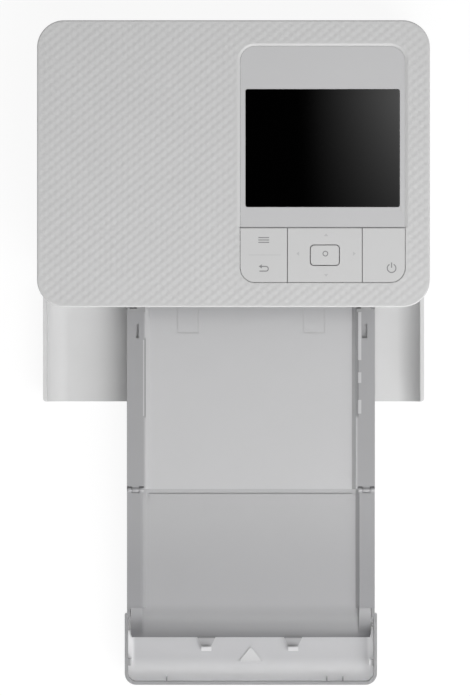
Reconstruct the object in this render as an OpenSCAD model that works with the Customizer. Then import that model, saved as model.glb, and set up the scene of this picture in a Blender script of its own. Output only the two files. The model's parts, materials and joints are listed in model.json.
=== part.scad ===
// Compact photo printer with its front door open and its paper cassette in place.
// Origin: centre of the body's footprint, on the surface that it stands on. Front is -Y.

/* [Body] */
// Width of the body across the top cover
body_w = 182.2; // [182:0.1:184]
// Depth of the body across the top cover
body_d = 133; // [132.6:0.1:134]
// Height of the body with its feet
body_h = 57.6; // [57.6:0.1:59]
// Corner radius of the top cover, seen from above
corner_r = 12.7; // [12.5:0.1:13]
// Thickness of the side walls
wall = 2.4; // [2.4:0.1:2.6]
// How far the lower cases stand in from the top cover's edge
case_inset = 0.8; // [0.6:0.1:1]
// Radius of the rounded edge round the top
top_round = 1.2; // [0.8:0.1:1.5]

/* [Control panel] */
// Left and right edges of the panel
panel_x = [3.0, 79.7];
// Front and rear edges of the panel
panel_y = [-55.2, 54.6];
// Corner radius of the panel
panel_r = 7; // [6:0.1:8]
// How deep the screen plate lies below the top cover
panel_drop = 0.45; // [0.4:0.05:0.5]
// Width of the slope that runs down to it
panel_slope = 1.3; // [1:0.1:1.5]
// Left and right edges of the screen window
glass_x = [5.5, 77.2];
// Front and rear edges of the screen window
glass_y = [-20.2, 34.6];
// Line between the screen plate and the row of keys
key_line_y = -29.6; // [-30:0.1:-29]
// Line between the menu key and the direction pad
pad_left_x = 25.0; // [24.8:0.1:25.2]
// Line between the direction pad and the power key
pad_right_x = 59.7; // [59.5:0.1:60]
// Gap round each key
key_gap = 0.35; // [0.3:0.05:0.4]
// Width and depth of the centre key
ok_size = [13.1, 9.1];

/* [Front door] */
// Length of the door from its hinge edge to its free edge
door_reach = 110.9; // [110:0.1:111]
// Thickness of the door
door_t = 1.8; // [1.6:0.1:1.9]
// Hinge line of the door: y and z
door_axis = [-64, 2.9];

/* [Paper cassette] */
// Middle of the cassette across the body
cas_x = 8.2; // [8:0.1:8.4]
// Width of the cassette
cas_w = 117.2; // [117:0.1:117.6]
// Width of its front end
cas_end_w = 119.4; // [119:0.1:119.6]
// Front edge of the cassette
cas_front = -244.9; // [-246:0.1:-244]
// Length of the wider front end
cas_end_len = 33.5; // [33:0.1:34]
// End of the cassette inside the body
cas_back = -36; // [-36.5:0.1:-35.5]
// Underside of the cassette
cas_z = 5; // [4.8:0.1:5.2]
// Thickness of the cassette's walls
cas_wall = 1.5; // [1.4:0.1:1.6]
// Height of the floor in front of the lid
shelf_z = 8.4; // [8.2:0.1:8.5]
// Hinge line of the folded cover: y and z
fold_axis = [-152.5, 18];
// Hinge line of the cassette lid: y and z
lid_axis = [-64, 18.5];

/* [Mechanism] */
// Width of the paper
paper_w = 100; // [100:1:101]
// Tooth module of the gears
gear_m = 0.8; // [0.8:0.1:0.8]
// Platen roller: y, z and radius
platen = [10, 19, 6.5];
// Feed roller: y, z and radius
grip = [-26, 22.5, 3];
// Pick-up roller: y, z and radius
pickup = [-48, 20.8, 8];
// Supply spool: y and z
supply = [-10, 35.6];
// Take-up spool: y and z
takeup = [31, 35.6];
// Head pivot: y and z
head_axis = [50, 45.6];

/* [Hidden] */
$fn = 64;

case_w = body_w - 2 * case_inset;
case_d = body_d - 2 * case_inset;
case_r = corner_r - case_inset;
foot_z = 1.2;
floor_z = foot_z + 2;
split_z = 12;
cover_z = 50;
recess = wall + 0.05;
frame_w = case_w - 2 * recess;
frame_d = case_d - 2 * recess;
frame_r = case_r - recess;
panel_fit = 0.2;
key_y = [panel_y[0] + panel_fit, key_line_y - key_gap];
key_mid_y = (key_y[0] + key_y[1]) / 2;
menu_x = [panel_x[0] + panel_fit, pad_left_x - key_gap / 2];
pad_x = [pad_left_x + key_gap / 2, pad_right_x - key_gap / 2];
power_x = [pad_right_x + key_gap / 2, panel_x[1] - panel_fit];
pad_mid_x = (pad_x[0] + pad_x[1]) / 2;
panel_z = body_h - panel_drop;
glass_z = panel_z - 1.25;
lcd_z = 54.6;
key_z = 55.6;
key_top = body_h - 0.05;
key_pivot = [key_mid_y, 55.9];
power_pivot = [-31.2, 55.9];
rocker_z = 55.05;
ink_axis = [case_w / 2 - wall / 2, 46.5];
ink_door_y = [-25.9, ink_axis[1]];
card_slot_y = [-52, -27.5];
jack_at = [-74, 20];
screw_at = [for (x = [-78, 78], y = [-32, 28]) [x, y]];
foot_at = [for (x = [-76, 76], y = [-50, 50]) [x, y]];
stand_at = [for (x = [-62.6, 75.3], y = [-44, 48]) [x, y]];
board_post_at = [for (x = [-80, -4], y = [-44, 51]) [x, y]];
key_post_at = [for (x = [9, 74], y = [-50, -28]) [x, y]];
knuckle_x = [-76, 73.8];
door_side_y = -case_d / 2 + case_r;
cas_l = cas_x - cas_w / 2;
cas_r = cas_x + cas_w / 2;
cas_floor_t = 1.4;
tray_floor = cas_z + cas_floor_t;
tray_rim = 15.9;
cassette_end_y = cas_front + cas_end_len;
hook_x = [-12.9, 28.3];
shelf_back = -219.5;
tongue_x = [-26.8, 33];
tongue_gap_w = 0.35;
lid_low = 14.6;
lid_high = 17.2;
lid_t = 1.2;
lid_bend_y = -208.6;
lid_front_y = -222.8;
lid_nose_r = 21;
lug_r = 1.2;
lid_half = 58.6;
cover_low = 16.2;
cover_high = 18.6;
plate_l = [-59.5, -58.3];
plate_r = [71, 72.2];
gear_x = [-62.5, -60];
big_gear_x = [-66.2, -63.4];
bracket_x = [-67.8, -66.6];
film_l = cas_x - 52;
film_r = cas_x + 52;
paper_l = cas_x - paper_w / 2;
paper_r = cas_x + paper_w / 2;
spool_roll = 7.6;
pinch = [grip[0], grip[1] + grip[2] + 0.3 + 2.8, 2.8];
roller_teeth = 20;
idler_teeth = 16;
small_teeth = 14;
large_teeth = 28;
pinion_teeth = 12;
pressure = 20;
backlash = 0.16;

// Polar step in the YZ plane
function step_to(p, r, a) = [p[0] + r * cos(a), p[1] + r * sin(a)];
function bearing_of(p, q) = atan2(q[1] - p[1], q[0] - p[0]);
function mesh_r(a, b) = gear_m * (a + b) / 2;
// Turn of gear b, on bearing phi from gear a, that puts its gap at a's tooth
function mesh_turn(za, ta, zb, phi) =
    let (pa = (phi - ta) * za / 360) phi + 180 - (0.5 - (pa - floor(pa))) * 360 / zb;

feed_at = [grip[0], grip[1]];
pick_at = [pickup[0], pickup[1]];
half_span = norm(feed_at - pick_at) / 2;
idle_rise = sqrt(pow(mesh_r(roller_teeth, idler_teeth), 2) - pow(half_span, 2));
idle_at = step_to((feed_at + pick_at) / 2, idle_rise, bearing_of(pick_at, feed_at) + 90);
reduce_at = step_to(feed_at, mesh_r(roller_teeth, small_teeth), 60);
pinion_at = step_to(reduce_at, mesh_r(large_teeth, pinion_teeth), 180);
ribbon_idle_at = step_to(takeup, mesh_r(roller_teeth, idler_teeth), -60);
ribbon_pinion_at = step_to(ribbon_idle_at, mesh_r(idler_teeth, pinion_teeth), -60);

feed_turn = 0;
idle_turn = mesh_turn(roller_teeth, feed_turn, idler_teeth, bearing_of(feed_at, idle_at));
pick_turn = mesh_turn(idler_teeth, idle_turn, roller_teeth, bearing_of(idle_at, pick_at));
reduce_turn = mesh_turn(roller_teeth, feed_turn, small_teeth, 60);
pinion_turn = mesh_turn(large_teeth, reduce_turn, pinion_teeth, 180);
ribbon_idle_turn = mesh_turn(roller_teeth, 0, idler_teeth, -60);
ribbon_pinion_turn = mesh_turn(idler_teeth, ribbon_idle_turn, pinion_teeth, -60);

// Rounded rectangle about the origin
module plan(w, d, r) {
    square([w - 2 * r, d], center = true);
    square([w, d - 2 * r], center = true);
    for (x = [-1, 1], y = [-1, 1]) translate([x * (w / 2 - r), y * (d / 2 - r)]) circle(r);
}

// Rounded rectangle between two x values and two y values
module plate_at(xs, ys, r) {
    translate([(xs[0] + xs[1]) / 2, (ys[0] + ys[1]) / 2]) plan(xs[1] - xs[0], ys[1] - ys[0], r);
}

// A flat shape raised from z0 to z1
module slab(z0, z1) { translate([0, 0, z0]) linear_extrude(z1 - z0) children(); }

// A (y, z) shape drawn out along X
module along_x(x0, x1) { translate([x0, 0, 0]) rotate([90, 0, 90]) linear_extrude(x1 - x0) children(); }

// An (x, z) shape drawn out along Y
module along_y(y0, y1) { translate([0, y1, 0]) rotate([90, 0, 0]) linear_extrude(y1 - y0) children(); }

module square_at(xs, ys) { translate([xs[0], ys[0]]) square([xs[1] - xs[0], ys[1] - ys[0]]); }

module block(xs, ys, zs) {
    translate([xs[0], ys[0], zs[0]]) cube([xs[1] - xs[0], ys[1] - ys[0], zs[1] - zs[0]]);
}

// Round bar along X at a (y, z) point
module bar(x0, x1, at, r) { translate([x0, at[0], at[1]]) rotate([0, 90, 0]) cylinder(x1 - x0, r, r); }

// Involute tooth: half angle of the tooth at radius rho
function involute(a) = tan(a) * 180 / PI - a;
function tooth_half(teeth, rho) =
    let (pitch_r = gear_m * teeth / 2, base_r = pitch_r * cos(pressure))
    90 / teeth - backlash / 2 / pitch_r * 90 / PI + involute(pressure)
    - involute(acos(min(1, base_r / rho)));
function on_circle(r, a) = [r * cos(a), r * sin(a)];

module gear_outline(teeth, turn) {
    pitch_r = gear_m * teeth / 2;
    root_r = pitch_r - 1.2 * gear_m;
    tip_r = pitch_r + 0.9 * gear_m;
    base_r = max(root_r + 0.02, pitch_r * cos(pressure));
    radii = [root_r, for (k = [0:3]) base_r + (tip_r - base_r) * k / 3];
    halves = [for (r = radii) tooth_half(teeth, max(r, base_r))];
    polygon([for (t = [0:teeth - 1]) let (mid = turn + t * 360 / teeth)
             each concat([for (k = [0:4]) on_circle(radii[k], mid - halves[k])],
                         [for (k = [4:-1:0]) on_circle(radii[k], mid + halves[k])])]);
}

// Spur gear along X, with a hub and a bore
module gear(xs, at, teeth, turn, bore_r, hub_r = 0, hub_x = 0) {
    difference() {
        union() {
            along_x(xs[0], xs[1]) translate([at[0], at[1]]) gear_outline(teeth, turn);
            if (hub_r > 0) bar(min(hub_x, xs[0]), max(hub_x, xs[1]), at, hub_r);
        }
        bar(min(hub_x, xs[0]) - 1, max(hub_x, xs[1]) + 1, at, bore_r);
    }
}

module bottom_case() {
    color("gainsboro") difference() {
        union() {
            difference() {
                slab(foot_z, split_z) plan(case_w, case_d, case_r);
                slab(floor_z, split_z + 1) plan(case_w - 2 * wall, case_d - 2 * wall, case_r - wall);
                // The corners stand back where the closed door wraps round them
                slab(0, split_z + 1) difference() {
                    translate([-body_w, -body_d]) square([2 * body_w, body_d + door_side_y]);
                    plan(frame_w, frame_d, frame_r);
                }
                slab(floor_z, split_z + 1) translate([-body_w, -body_d])
                    square([2 * body_w, body_d + door_side_y]);
            }
            for (x = [-79.2, -71.7, 70.6, 78.2]) {
                bar(x, x + 2.8, door_axis, 1.65);
                block([x, x + 2.8], [door_axis[0], door_axis[0] + 3], [foot_z, door_axis[1] + 1.65]);
            }
            for (p = screw_at) translate([p[0], p[1], floor_z - 0.1]) cylinder(3.1, 4.5, 4.5);
            // Stands for the mechanism, and ribs under the two sockets
            for (p = stand_at) translate([p[0], p[1], floor_z - 0.1]) cylinder(1.9, 3, 3);
            for (x = [-78, -71.5]) block([x, x + 1.5], [53, 62], [floor_z - 0.1, 14.5]);
            for (x = [-56, -51.5]) block([x, x + 1.5], [56.5, 61.5], [floor_z - 0.1, 18.4]);
        }
        for (x = knuckle_x) block([x - 0.3, x + 4.3], [-70, door_axis[0] + 2.2], [0, 8]);
        for (x = [-90, 60]) bar(x, x + 30, door_axis, 0.92);
        for (p = screw_at) translate([p[0], p[1], 0]) {
            cylinder(floor_z - 0.4, 3.2, 3.2);
            cylinder(12, 1.62, 1.62);
        }
        for (p = stand_at) translate([p[0], p[1], floor_z + 0.4]) cylinder(3, 1.05, 1.05);
        // Cooling slots under the power supply end
        for (k = [0:6]) block([-50 + 8 * k, -46 + 8 * k], [20, 44], [0, floor_z + 1]);
    }
}

module upper_case() {
    color("whitesmoke") difference() {
        union() {
            slab(split_z, cover_z) difference() {
                plan(case_w, case_d, case_r);
                plan(case_w - 2 * wall, case_d - 2 * wall, case_r - wall);
            }
            // Screw posts with a rib to the side wall
            for (p = screw_at) {
                translate([p[0], p[1], 6.4]) cylinder(12, 3.6, 3.6);
                block([min(p[0], sign(p[0]) * 88.4), max(p[0], sign(p[0]) * 88.4)],
                      [p[1] - 0.8, p[1] + 0.8], [split_z + 0.1, 18.4]);
            }
        }
        for (p = screw_at) translate([p[0], p[1], 6]) cylinder(7, 1.62, 1.62);
        block([-100, 100], [-80, door_side_y + 0.1], [split_z - 1, cover_z + 1]);
        // Side opening for the ink cassette, with a round seat for the hinged edge of its door
        block([80, 100], [ink_door_y[0], ink_axis[1] - 0.5], [14, 48]);
        block([ink_axis[0], 100], [ink_axis[1] - 1, ink_axis[1] + wall / 2 + 0.3], [14, 48]);
        translate([ink_axis[0], ink_axis[1], 14]) cylinder(34, wall / 2 + 0.3, wall / 2 + 0.3);
        translate([ink_axis[0], ink_axis[1], split_z + 0.3]) cylinder(cover_z - split_z - 0.6, 0.83, 0.83);
        block([80, 100], card_slot_y, [44.4, 47]);
        // Rear: paper slot, vents, power inlet and data socket
        block([-43.8, 60.2], [60, 70], [23, 29]);
        for (k = [0:10]) block([-64 + 4 * k, -62 + 4 * k], [60, 70], [36, 46]);
        translate([jack_at[0], 70, jack_at[1]]) rotate([90, 0, 0]) cylinder(12, 4.6, 4.6);
        along_y(60, 70) plate_at([-57.6, -48.4], [18.3, 21.7], 1.6);
    }
}

module soft_edge(w, d, r, e) {
    for (x = [-1, 1]) translate([x * (w / 2 - e), 0, 0]) rotate([90, 0, 0])
        cylinder(d - 2 * r, e, e, center = true);
    for (y = [-1, 1]) translate([0, y * (d / 2 - e), 0]) rotate([0, 90, 0])
        cylinder(w - 2 * r, e, e, center = true);
    for (k = [0:3]) rotate(k * 90) {
        a = k % 2 == 0 ? w : d;
        b = k % 2 == 0 ? d : w;
        translate([a / 2 - r, b / 2 - r, 0]) rotate_extrude(angle = 90) translate([r - e, 0]) circle(e);
    }
}

// Cutter for the slope round the sunk screen plate
module aperture_slope() {
    function wedge(edge, out) = [[edge - out, 0], [edge, 0], [edge + out * panel_slope, panel_drop],
                                 [edge + out * panel_slope, 1], [edge - out, 1]];
    translate([0, 0, panel_z]) {
        along_x(panel_x[0] + panel_r, panel_x[1] - panel_r) polygon(wedge(panel_y[1], 1));
        for (side = [0, 1]) {
            along_y(key_line_y, panel_y[1] - panel_r) polygon(wedge(panel_x[side], 2 * side - 1));
            translate([panel_x[side] + (1 - 2 * side) * panel_r, panel_y[1] - panel_r])
                rotate(90 - 90 * side) rotate_extrude(angle = 90) polygon(wedge(panel_r, 1));
        }
    }
}

module top_cover() {
    color("white") difference() {
        union() {
            slab(cover_z, body_h - top_round) plan(body_w, body_d, corner_r);
            slab(body_h - 2 * top_round, body_h)
                plan(body_w - 2 * top_round, body_d - 2 * top_round, corner_r - top_round);
            translate([0, 0, body_h - top_round]) soft_edge(body_w, body_d, corner_r, top_round);
        }
        slab(cover_z - 1, body_h - wall) difference() {
            plan(body_w - 2 * 3, body_d - 2 * 3, corner_r - 3);
            for (p = board_post_at) translate(p) circle(2.6);
        }
        slab(cover_z - 1, body_h + 1) plate_at(panel_x, panel_y, panel_r);
        aperture_slope();
        // The posts of the main board step in where they pass through it
        for (p = board_post_at) translate([p[0], p[1], cover_z - 1]) difference() {
            cylinder(3.2, 3, 3);
            cylinder(3.2, 1.4, 1.4);
        }
    }
}

module front_frame() {
    color("silver") difference() {
        slab(floor_z, cover_z) difference() {
            plan(frame_w, frame_d, frame_r);
            plan(frame_w - 4, frame_d - 4, frame_r - 2);
        }
        block([-100, 100], [-50, 100], [0, 60]);
        block([cas_l - 2.6, cas_r + 2.7], [-70, -50], [floor_z - 1, 31]);
        for (x = knuckle_x) block([x - 0.3, x + 4.3], [-70, door_axis[0] + 2.2], [0, 8]);
        for (x = [-79.6, -72, 70.2, 77.8]) block([x, x + 3.6], [-70, door_axis[0] + 3.1], [0, 5]);
        block([80, 100], [-54, -49], [43, 48.4]);
    }
}

// Outline of the panel, a little smaller than its aperture
module panel_outline() {
    plate_at([panel_x[0] + panel_fit, panel_x[1] - panel_fit],
             [panel_y[0] + panel_fit, panel_y[1] - panel_fit], panel_r - panel_fit);
}

// Half-round seats on the panel's tray for the pivot rib of a key
module key_saddles(xs, pivot) {
    for (x = [xs[0] + 2, xs[1] - 4]) difference() {
        block([x, x + 2], [pivot[0] - 1.2, pivot[0] + 1.2], [54.7, 55.5]);
        bar(x - 1, x + 3, pivot, 0.66);
    }
}

module control_panel() {
    color("white") difference() {
        union() {
            slab(lcd_z, panel_z) difference() {
                panel_outline();
                translate([-10, -100]) square([110, 100 + key_line_y]);
            }
            slab(53.6, 54.8) plate_at([panel_x[0] + panel_fit, panel_x[1] - panel_fit],
                                      [panel_y[0] + panel_fit, key_line_y + 4], 2);
            key_saddles(menu_x, key_pivot);
            key_saddles(power_x, power_pivot);
            // Posts of the key board, and hooks under the display
            for (p = key_post_at) translate([p[0], p[1], 50.2]) cylinder(3.5, 1.5, 1.5);
            for (x = [18, 58], s = [-1, 1]) {
                y = s < 0 ? glass_y[0] + 1 : glass_y[1] - 1;
                hook_y = s < 0 ? [y - 1.3, y - 0.1] : [y + 0.1, y + 1.3];
                block([x, x + 6], hook_y, [51.4, lcd_z + 0.1]);
                block([x, x + 6], [min(hook_y[0], y - 0.6), max(hook_y[1], y + 0.6)], [51.4, 52.1]);
            }
        }
        slab(glass_z, body_h + 1) plate_at(glass_x, glass_y, 1);
        slab(50, body_h + 1) plate_at([glass_x[0] + 2, glass_x[1] - 2],
                                      [glass_y[0] + 2, glass_y[1] - 2], 1);
        // Hole for the centre key's stem, and the groove that the rocker lies in
        translate([pad_mid_x, key_mid_y, 50]) cylinder(6, 2.4, 2.4);
        translate([pad_mid_x, key_mid_y, rocker_z]) rotate([90, 0, 0])
            cylinder(16, 0.42, 0.42, center = true);
    }
}

module screen_glass() {
    color("black") slab(glass_z, panel_z - 0.05)
        plate_at([glass_x[0] + 0.1, glass_x[1] - 0.1], [glass_y[0] + 0.1, glass_y[1] - 0.1], 0.9);
}

module lcd_module() {
    color("dimgray") union() {
        block([glass_x[0] + 1, glass_x[1] - 1], [glass_y[0] + 1, glass_y[1] - 1], [52.2, lcd_z]);
        block([glass_x[0] + 3, glass_x[1] - 3], [glass_y[0] + 3, glass_y[1] - 3],
              [lcd_z - 0.1, glass_z - 0.1]);
    }
}

module panel_board() {
    color("darkgreen") difference() {
        block([5, 78], [-54, -24], [50.6, 51.8]);
        for (p = key_post_at) translate([p[0], p[1], 50]) cylinder(3, 1.6, 1.6);
    }
}

module key_mat() {
    color("dimgray") difference() {
        block([5.5, 77.5], [-53.5, -26.5], [51.8, 52.8]);
        for (p = key_post_at) translate([p[0], p[1], 50]) cylinder(3, 1.6, 1.6);
    }
}

// One key cap cut from the row, with the row's round outer corners
module key_cap(xs) {
    slab(key_z, key_top) intersection() {
        panel_outline();
        translate([xs[0], key_y[0]]) square([xs[1] - xs[0], key_y[1] - key_y[0]]);
    }
}

// Key cap that rocks on a round rib under it
module rocking_key(xs, pivot) {
    union() {
        key_cap(xs);
        bar(xs[0] + 1.5, xs[1] - 1.5, pivot, 0.6);
    }
}

module menu_key() { color("white") rocking_key(menu_x, key_pivot); }

module power_key() { color("white") rocking_key(power_x, power_pivot); }

module direction_pad() {
    color("white") union() {
        difference() {
            key_cap(pad_x);
            slab(50, 60) translate([pad_mid_x, key_mid_y]) plan(ok_size[0] + 0.8, ok_size[1] + 0.8, 1.9);
        }
        for (x = [pad_mid_x - 10.6, pad_mid_x + 7.6]) bar(x, x + 3, key_pivot, 0.5);
    }
}

// Cross-shaped rocker: the pad tips on its wide arms, and its narrow arms tip in the panel's groove
module pad_rocker() {
    color("silver") difference() {
        union() {
            block([pad_mid_x - 11, pad_mid_x + 11], [key_mid_y - 1.4, key_mid_y + 1.4], [55, 55.55]);
            block([pad_mid_x - 0.8, pad_mid_x + 0.8], [key_mid_y - 7.5, key_mid_y + 7.5],
                  [rocker_z, 55.25]);
            translate([pad_mid_x, key_mid_y, rocker_z]) rotate([90, 0, 0])
                cylinder(15, 0.36, 0.36, center = true);
            translate([pad_mid_x, key_mid_y, 55]) cylinder(0.4, 3.8, 3.8);
        }
        translate([pad_mid_x, key_mid_y, 50]) cylinder(8, 2.4, 2.4);
        bar(pad_mid_x - 12, pad_mid_x + 12, key_pivot, 0.56);
    }
}

module ok_key() {
    color("white") union() {
        slab(key_z + 0.6, body_h) translate([pad_mid_x, key_mid_y]) plan(ok_size[0], ok_size[1], 1.5);
        translate([pad_mid_x, key_mid_y, 53.6]) cylinder(key_z - 52.9, 1.8, 1.8);
    }
}

module main_board() {
    color("darkgreen") union() {
        difference() {
            block([-84, 0], [-48, 55], [50.8, 52.2]);
            for (p = board_post_at) translate([p[0], p[1], 50]) cylinder(3, 1.6, 1.6);
        }
        block([-50, -36], [0, 14], [52.2, 53.4]);
        block([-28, -18], [-20, -10], [52.2, 53.2]);
        block([-70, -62], [30, 44], [52.2, 54.2]);
    }
}

module card_socket() {
    color("silver") difference() {
        block([64, frame_w / 2], [-53.5, -26.5], [43.4, 48]);
        block([66, 90], [-51.5, -28], [44.6, 46.8]);
    }
}

module usb_socket() {
    color("silver") along_y(55, 63) difference() {
        plate_at([-57.4, -48.6], [18.4, 21.6], 1.55);
        plate_at([-57, -49], [18.8, 21.2], 1.15);
    }
}

// The plug goes into the round mouth, and a wider space behind it holds the contact pin
module dc_jack() {
    color("black") difference() {
        union() {
            block([jack_at[0] - 5.5, jack_at[0] + 5.5], [52, 63], [14.5, 25.5]);
            translate([jack_at[0], 65.5, jack_at[1]]) rotate([90, 0, 0]) cylinder(3, 4.5, 4.5);
        }
        translate([jack_at[0], 70, jack_at[1]]) rotate([90, 0, 0]) cylinder(14, 2.8, 2.8);
        translate([jack_at[0], 60.5, jack_at[1]]) rotate([90, 0, 0]) cylinder(5.5, 3.6, 3.6);
    }
}

module dc_contact_pin() {
    color("silver") translate([jack_at[0], 59.4, jack_at[1]]) rotate([90, 0, 0]) cylinder(4.4, 0.8, 0.8);
}

// Outline of a side plate of the mechanism, seen along X
module side_plate() {
    difference() {
        polygon([[-54, 5], [-54, 34], [-46, 42], [-24, 42], [-18, 48.5], [54, 48.5], [57, 44], [57, 5],
                 [40, 5], [36, 9], [-30, 9], [-34, 5]]);
        for (p = [platen, grip, pickup]) translate([p[0], p[1]]) circle(4);
        translate([pinch[0], pinch[1]]) circle(1.46);
        translate(head_axis) circle(1.56);
    }
}

// Bent tabs by which a side plate stands on the floor's stands
module plate_tabs(xs, side) {
    for (p = stand_at) if (p[0] * side > 0) difference() {
        block([min(xs[0], p[0] - 3.1), max(xs[1], p[0] + 3.1)], [p[1] - 4, p[1] + 4], [5, 6.2]);
        translate([p[0], p[1], 4]) cylinder(3, 1.3, 1.3);
    }
}

module chassis_left() {
    color("silver") union() {
        along_x(plate_l[0], plate_l[1]) difference() {
            side_plate();
            translate(takeup) circle(3.4);
            translate(supply) circle(3.4);
        }
        plate_tabs(plate_l, -1);
    }
}

module ribbon_window() {
    for (p = [supply, takeup]) translate(p) circle(10.2);
    translate([supply[0], supply[1]]) square([takeup[0] - supply[0], 9.8]);
    translate([supply[0] - 6, 28]) square([takeup[0] - supply[0] + 12, 8]);
}

module chassis_right() {
    color("silver") union() {
        along_x(plate_r[0], plate_r[1]) difference() {
            side_plate();
            ribbon_window();
        }
        plate_tabs(plate_r, 1);
        // Shelf for the card socket
        block([plate_r[0], plate_r[1]], [-44, -28], [41, 43.4]);
        block([66, 86], [-50, -30], [42.6, 43.4]);
    }
}

module chassis_screws() {
    color("silver") for (p = stand_at) translate([p[0], p[1], 0]) {
        translate([0, 0, 6.2]) cylinder(1.4, 2.2, 2.2);
        translate([0, 0, floor_z + 0.4]) cylinder(2.7, 1, 1);
    }
}

module rear_stay() {
    color("silver") union() {
        block([plate_l[1], plate_r[0]], [54, 55], [32, 44]);
        block([plate_l[1], plate_r[0]], [54, 60], [31, 32]);
    }
}

module front_stay() {
    color("silver") union() {
        block([plate_l[1], plate_r[0]], [-37, -36], [36, 41]);
        block([plate_l[1], plate_r[0]], [-43, -37], [40, 41]);
    }
}

module paper_guide() {
    color("dimgray") union() {
        along_x(paper_l - 2, paper_r + 2) {
            polygon([[-34.6, 6], [-33.2, 6], [-30.4, 23.6], [-30.4, 24.8], [-31.6, 24.8]]);
            polygon([[-21.6, 24], [2.2, 24], [2.2, 25], [-21.6, 25]]);
            polygon([[18, 24], [60, 23.4], [60, 24.4], [18, 25]]);
        }
        for (x = [paper_l - 4, paper_r + 2]) {
            block([x, x + 2], [-34.6, -30.4], [6, 12]);
            block([x, x + 2], [-34.6, 60], [floor_z, 9]);
            for (y = [-33, -12, 30, 52]) block([x, x + 2], [y, y + 4], [6, 25]);
        }
    }
}

module roller_bushes() {
    color("goldenrod") for (xs = [plate_l, plate_r], p = [platen, grip, pickup]) difference() {
        bar(xs[0], xs[1], p, 4);
        bar(xs[0] - 1, xs[1] + 1, p, 2.55);
    }
}

module gear_studs() {
    color("silver") {
        bar(-66.6, plate_l[0], reduce_at, 1.5);
        bar(gear_x[0] - 0.5, plate_l[0], idle_at, 1.5);
        bar(-66.6, plate_l[0], ribbon_idle_at, 1.5);
    }
}

module motor_bracket() {
    color("silver") union() {
        along_x(bracket_x[0], bracket_x[1]) difference() {
            polygon([[-46, 22], [-46, 46], [50, 46], [53, 40], [53, 8], [36, 8], [30, 22]]);
            translate(pinion_at) circle(3.2);
            translate(ribbon_pinion_at) circle(3.2);
        }
        for (p = [[-44, 38], [0, 26], [50, 42], [50, 25]]) bar(bracket_x[1], plate_l[0], p, 1.6);
    }
}

// Can motor with its boss in the bracket
module motor(at, r, len) {
    difference() {
        union() {
            bar(bracket_x[0] - len, bracket_x[0], at, r);
            bar(bracket_x[0], bracket_x[1], at, 3.2);
        }
        bar(bracket_x[0] - 4, bracket_x[1] + 1, at, 0.86);
    }
}

module feed_motor() { color("silver") motor(pinion_at, 9, 18); }

module ribbon_motor() { color("silver") motor(ribbon_pinion_at, 7.2, 17); }

// Ink cassette: two open shells joined by its ends, with bores for the spools
module ribbon_case() {
    color("dimgray") difference() {
        union() {
            for (p = [supply, takeup]) difference() {
                bar(-54, 64, p, 9.4);
                bar(-52, 62, p, 8.5);
            }
            for (x = [-54, 62]) along_x(x, x + 2) {
                for (p = [supply, takeup]) translate(p) circle(9.4);
                translate([supply[0], 37]) square([takeup[0] - supply[0], 8]);
            }
            block([64, 77], [6, 15], [37, 44]);
        }
        // The shells are open towards the head, where the film comes out
        block([-51.9, 61.9], [supply[0] + 4, takeup[0] - 4], [20, 50]);
        block([-51.9, 61.9], [supply[0] + 1, takeup[0] - 1], [20, 31]);
        for (p = [supply, takeup]) bar(-60, 64.1, p, 3.26);
        block([66, 75.4], [5, 16], [39, 42]);
    }
}

module spool(at, x0) {
    bar(x0, 64, at, 3.2);
    bar(film_l, film_r, at, spool_roll);
    for (x = [film_l - 1, film_r]) bar(x, x + 1, at, 8.1);
}

module takeup_spool() { color("black") spool(takeup, -53.4); }

module supply_spool() { color("black") spool(supply, -53.4); }

// The film runs from under one roll, below the head, to under the other
module ink_ribbon() {
    from = step_to(supply, spool_roll + 0.35, -84);
    to = step_to(takeup, spool_roll + 0.35, -96);
    color("black") along_x(film_l + 1, film_r - 1)
        polygon([from, [7, 26], [13, 26], to, to + [0, 0.12], [13, 26.12], [7, 26.12],
                 from + [0, 0.12]]);
}

module rubber_feet() {
    color("dimgray") for (p = foot_at) translate([p[0], p[1], 0]) cylinder(foot_z, 5, 5);
}

module case_screws() {
    color("silver") for (p = screw_at) translate([p[0], p[1], 0]) {
        translate([0, 0, 1.5]) cylinder(floor_z - 0.4 - 1.5, 2.9, 2.9);
        translate([0, 0, 2]) cylinder(10, 1.6, 1.6);
    }
}

module door_pins() {
    color("silver") for (x = [-79, 70.8]) bar(x, x + 10, door_axis, 0.9);
}

module ink_door_pins() {
    color("silver") for (z = [split_z + 0.5, 47]) translate([ink_axis[0], ink_axis[1], z])
        cylinder(2.5, 0.8, 0.8);
}

// The door lies open: a flat panel whose ends curl up to wrap round the body when it is shut
module front_door() {
    r = case_r;
    ends = case_w / 2 - r;
    color("white") difference() {
        union() {
            along_y(-door_reach, -66) difference() {
                union() {
                    translate([-ends, foot_z]) square([2 * ends, r]);
                    for (x = [-1, 1]) translate([x * ends, foot_z + r]) circle(r);
                }
                translate([-ends, foot_z + door_t]) square([2 * ends, 3 * r]);
                for (x = [-1, 1]) translate([x * ends, foot_z + r]) circle(r - door_t);
                translate([-body_w, foot_z + r]) square([2 * body_w, 3 * r]);
            }
            for (x = knuckle_x) {
                bar(x, x + 4, door_axis, 1.6);
                block([x, x + 4], [-67, door_axis[0]], [foot_z + 0.1, foot_z + door_t]);
            }
        }
        for (x = knuckle_x) bar(x - 1, x + 5, door_axis, 0.96);
        slab(0, 20) for (x = [-1, 1]) translate([x * case_w / 2, -door_reach]) difference() {
            square(3, center = true);
            translate([-x * 1.5, 1.5]) circle(1.5);
        }
    }
}

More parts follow.
